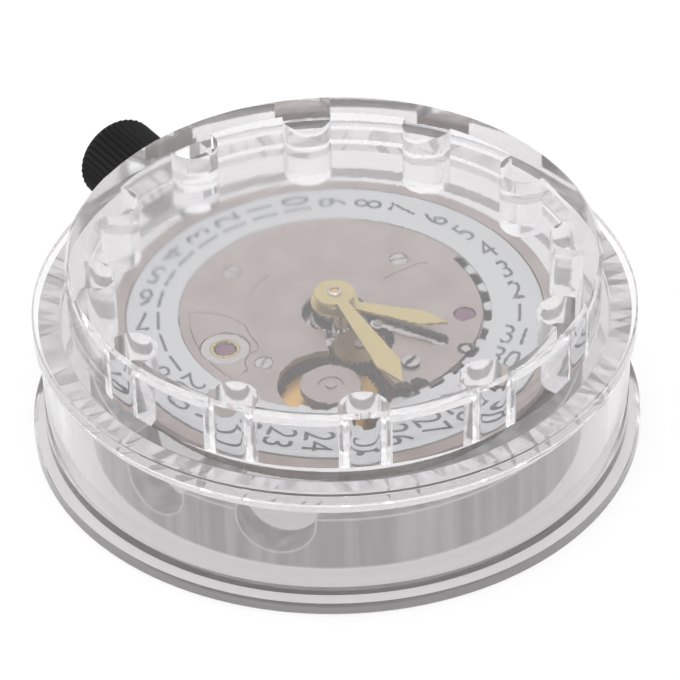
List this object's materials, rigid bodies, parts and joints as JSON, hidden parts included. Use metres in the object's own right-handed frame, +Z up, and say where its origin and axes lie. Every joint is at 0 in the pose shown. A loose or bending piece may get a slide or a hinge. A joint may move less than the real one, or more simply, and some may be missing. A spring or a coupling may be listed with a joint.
{
  "type": "mechanical watch movement",
  "caption": "automatic watch movement with date ring, gilt hands, crown and stem, dial side up in a clear plastic case with a hat-shaped lid and D-section posts",
  "frame": {"origin": "case axis at the underside of the tray, where it rests on a table", "axes": "+Z up through the dial side, +X along the winding stem towards the crown (3 o'clock), +Y towards 12 o'clock"},
  "size_m": [0.0418, 0.0358, 0.0124],
  "materials": {
    "clear_plastic": "clear polystyrene, moulded, light haze",
    "nickel_plate": "nickel plated brass, fine matt",
    "date_silver": "satin silver lacquer with printed numerals",
    "brass": "turned and cut brass",
    "steel": "hardened steel, ground",
    "polished_steel": "polished steel",
    "gilt": "gilt hands, satin",
    "ruby": "polished synthetic ruby",
    "black_metal": "black, satin"
  },
  "bodies": {
    "case": {"case_tray": "clear_plastic", "movement_holder": "clear_plastic", "main_plate": "nickel_plate", "calendar_plate": "nickel_plate", "calendar_screws": "polished_steel", "raised_screw": "polished_steel", "dial_jewel": "ruby", "lever_posts": "steel", "pallet_bridge": "nickel_plate", "hairspring_stud": "steel", "balance_cock": "nickel_plate", "shock_settings": "polished_steel", "shock_jewels": "ruby", "shock_springs": "gilt", "train_bridge": "nickel_plate", "barrel_bridge": "nickel_plate", "bridge_screws": "polished_steel", "automatic_bridge": "nickel_plate", "rotor_bearing": "steel", "rotor_screw": "polished_steel"},
    "lid": {"case_lid": "clear_plastic"},
    "stem": {"winding_stem": "steel"},
    "crown": {"crown": "black_metal"},
    "setting_lever": {"setting_lever": "steel"},
    "yoke": {"yoke": "steel"},
    "clutch": {"clutch_wheel": "steel"},
    "winding_pinion": {"winding_pinion": "steel"},
    "crown_wheel": {"crown_wheel": "polished_steel", "contrate_wheel": "steel"},
    "ratchet": {"ratchet_wheel": "polished_steel", "barrel_arbor": "steel", "mainspring": "steel"},
    "click": {"click": "steel"},
    "minute": {"cannon_pinion": "polished_steel", "minute_hand": "gilt"},
    "minute_wheel": {"minute_wheel": "brass"},
    "hour": {"hour_wheel": "polished_steel", "hour_hand": "gilt"},
    "date_idler": {"date_idler": "steel"},
    "date_wheel": {"date_wheel": "brass", "date_finger_disc": "polished_steel"},
    "date_ring": {"date_ring": "date_silver"},
    "date_jumper": {"date_jumper": "polished_steel"},
    "barrel": {"barrel_drum": "brass", "barrel_cover": "brass"},
    "centre": {"centre_wheel": "brass"},
    "third": {"third_wheel": "brass"},
    "fourth": {"fourth_wheel": "brass"},
    "escape": {"escape_wheel": "steel"},
    "fork": {"pallet_fork": "steel", "pallet_stones": "ruby"},
    "balance": {"balance_wheel": "gilt", "balance_staff": "steel", "roller": "steel", "hairspring": "steel"},
    "regulator": {"regulator": "polished_steel"},
    "rotor": {"rotor": "nickel_plate", "rotor_race": "steel"},
    "reverser": {"reverser_wheel": "brass"},
    "reduction": {"reduction_wheel": "brass"}
  },
  "joints": [
    {"name": "lid_lift", "type": "slide", "parent": "case", "child": "lid", "axis": [0, 0, 1], "range_m": [0, 0.015]},
    {"name": "crown_pull", "type": "slide", "parent": "case", "child": "stem", "axis": [1, 0, 0], "range_m": [0, 0.0006]},
    {"name": "crown_turn", "type": "hinge", "parent": "stem", "child": "crown", "pos_m": [0.0229, 0, 0.0053], "axis": [1, 0, 0], "continuous": true},
    {"name": "setting_lever_turn", "type": "hinge", "parent": "case", "child": "setting_lever", "pos_m": [0.0108, 0.0022, 0.005], "axis": [0, 0, 1], "range_deg": [0, 15.63]},
    {"name": "yoke_turn", "type": "hinge", "parent": "case", "child": "yoke", "pos_m": [0.006, -0.00105, 0.005], "axis": [0, 0, 1], "range_deg": [0, 19.1]},
    {"name": "clutch_slide", "type": "slide", "parent": "case", "child": "clutch", "axis": [-1, 0, 0], "range_m": [0, 0.00035]},
    {"name": "winding_pinion_turn", "type": "hinge", "parent": "case", "child": "winding_pinion", "pos_m": [0.0091, 0, 0.0053], "axis": [1, 0, 0], "continuous": true},
    {"name": "crown_wheel_turn", "type": "hinge", "parent": "case", "child": "crown_wheel", "pos_m": [0.008, 0, 0.005], "axis": [0, 0, 1], "continuous": true},
    {"name": "ratchet_turn", "type": "hinge", "parent": "case", "child": "ratchet", "pos_m": [0.00305, -0.00528, 0.005], "axis": [0, 0, 1], "continuous": true},
    {"name": "click_rock", "type": "hinge", "parent": "case", "child": "click", "pos_m": [-0.00259, -0.00733, 0.005], "axis": [0, 0, 1], "range_deg": [-12, 0]},
    {"name": "minute_turn", "type": "hinge", "parent": "case", "child": "minute", "pos_m": [0, 0, 0.005], "axis": [0, 0, 1], "continuous": true},
    {"name": "minute_wheel_turn", "type": "hinge", "parent": "case", "child": "minute_wheel", "pos_m": [0.00246, -0.00172, 0.005], "axis": [0, 0, 1], "continuous": true},
    {"name": "hour_turn", "type": "hinge", "parent": "case", "child": "hour", "pos_m": [0, 0, 0.005], "axis": [0, 0, 1], "continuous": true},
    {"name": "date_idler_turn", "type": "hinge", "parent": "case", "child": "date_idler", "pos_m": [-0.00298, 0.00035, 0.005], "axis": [0, 0, 1], "continuous": true},
    {"name": "date_wheel_turn", "type": "hinge", "parent": "case", "child": "date_wheel", "pos_m": [-0.00534, 0.00406, 0.005], "axis": [0, 0, 1], "continuous": true},
    {"name": "date_ring_turn", "type": "hinge", "parent": "case", "child": "date_ring", "pos_m": [0, 0, 0.005], "axis": [0, 0, 1], "continuous": true},
    {"name": "date_jumper_rock", "type": "hinge", "parent": "case", "child": "date_jumper", "pos_m": [-0.00205, -0.0016, 0.005], "axis": [0, 0, 1], "range_deg": [-2, 2]},
    {"name": "barrel_turn", "type": "hinge", "parent": "case", "child": "barrel", "pos_m": [0.00305, -0.00528, 0.005], "axis": [0, 0, 1], "continuous": true},
    {"name": "centre_turn", "type": "hinge", "parent": "case", "child": "centre", "pos_m": [0, 0, 0.005], "axis": [0, 0, 1], "continuous": true},
    {"name": "third_turn", "type": "hinge", "parent": "case", "child": "third", "pos_m": [-0.0037, -0.00055, 0.005], "axis": [0, 0, 1], "continuous": true},
    {"name": "fourth_turn", "type": "hinge", "parent": "case", "child": "fourth", "pos_m": [-0.00522, 0.00221, 0.005], "axis": [0, 0, 1], "continuous": true},
    {"name": "escape_turn", "type": "hinge", "parent": "case", "child": "escape", "pos_m": [-0.0042, 0.005, 0.005], "axis": [0, 0, 1], "continuous": true},
    {"name": "fork_rock", "type": "hinge", "parent": "case", "child": "fork", "pos_m": [-0.00193, 0.00591, 0.005], "axis": [0, 0, 1], "range_deg": [-4, 4]},
    {"name": "balance_swing", "type": "hinge", "parent": "case", "child": "balance", "pos_m": [0.00094, 0.00706, 0.005], "axis": [0, 0, 1], "range_deg": [-16, 16]},
    {"name": "regulator_turn", "type": "hinge", "parent": "case", "child": "regulator", "pos_m": [0.00094, 0.00706, 0.005], "axis": [0, 0, 1], "range_deg": [-10, 10]},
    {"name": "rotor_turn", "type": "hinge", "parent": "case", "child": "rotor", "pos_m": [0, 0, 0.005], "axis": [0, 0, 1], "continuous": true},
    {"name": "reverser_turn", "type": "hinge", "parent": "case", "child": "reverser", "pos_m": [-0.0032, -0.00185, 0.005], "axis": [0, 0, 1], "continuous": true},
    {"name": "reduction_turn", "type": "hinge", "parent": "case", "child": "reduction", "pos_m": [-0.00264, -0.00551, 0.005], "axis": [0, 0, 1], "continuous": true}
  ],
  "couplings": [
    {"joint": "setting_lever_turn", "follows": "crown_pull", "rad_per_m": 454.09},
    {"joint": "yoke_turn", "follows": "crown_pull", "rad_per_m": 555.01},
    {"joint": "clutch_slide", "follows": "crown_pull", "ratio": 0.58333},
    {"joint": "winding_pinion_turn", "follows": "crown_turn", "ratio": 1},
    {"joint": "crown_wheel_turn", "follows": "crown_turn", "ratio": 0.41667},
    {"joint": "ratchet_turn", "follows": "crown_turn", "ratio": -0.25463},
    {"joint": "minute_wheel_turn", "follows": "minute_turn", "ratio": -0.33333},
    {"joint": "hour_turn", "follows": "minute_turn", "ratio": 0.083333},
    {"joint": "date_idler_turn", "follows": "minute_turn", "ratio": -0.072917},
    {"joint": "date_wheel_turn", "follows": "minute_turn", "ratio": 0.041667},
    {"joint": "fourth_turn", "follows": "escape_turn", "ratio": -0.1},
    {"joint": "third_turn", "follows": "escape_turn", "ratio": 0.0125},
    {"joint": "centre_turn", "follows": "escape_turn", "ratio": -0.0016667},
    {"joint": "barrel_turn", "follows": "escape_turn", "ratio": 0.00022222},
    {"joint": "fork_rock", "follows": "balance_swing", "ratio": -0.25},
    {"joint": "reverser_turn", "follows": "rotor_turn", "ratio": -1.4667},
    {"joint": "reduction_turn", "follows": "rotor_turn", "ratio": 1}
  ]
}
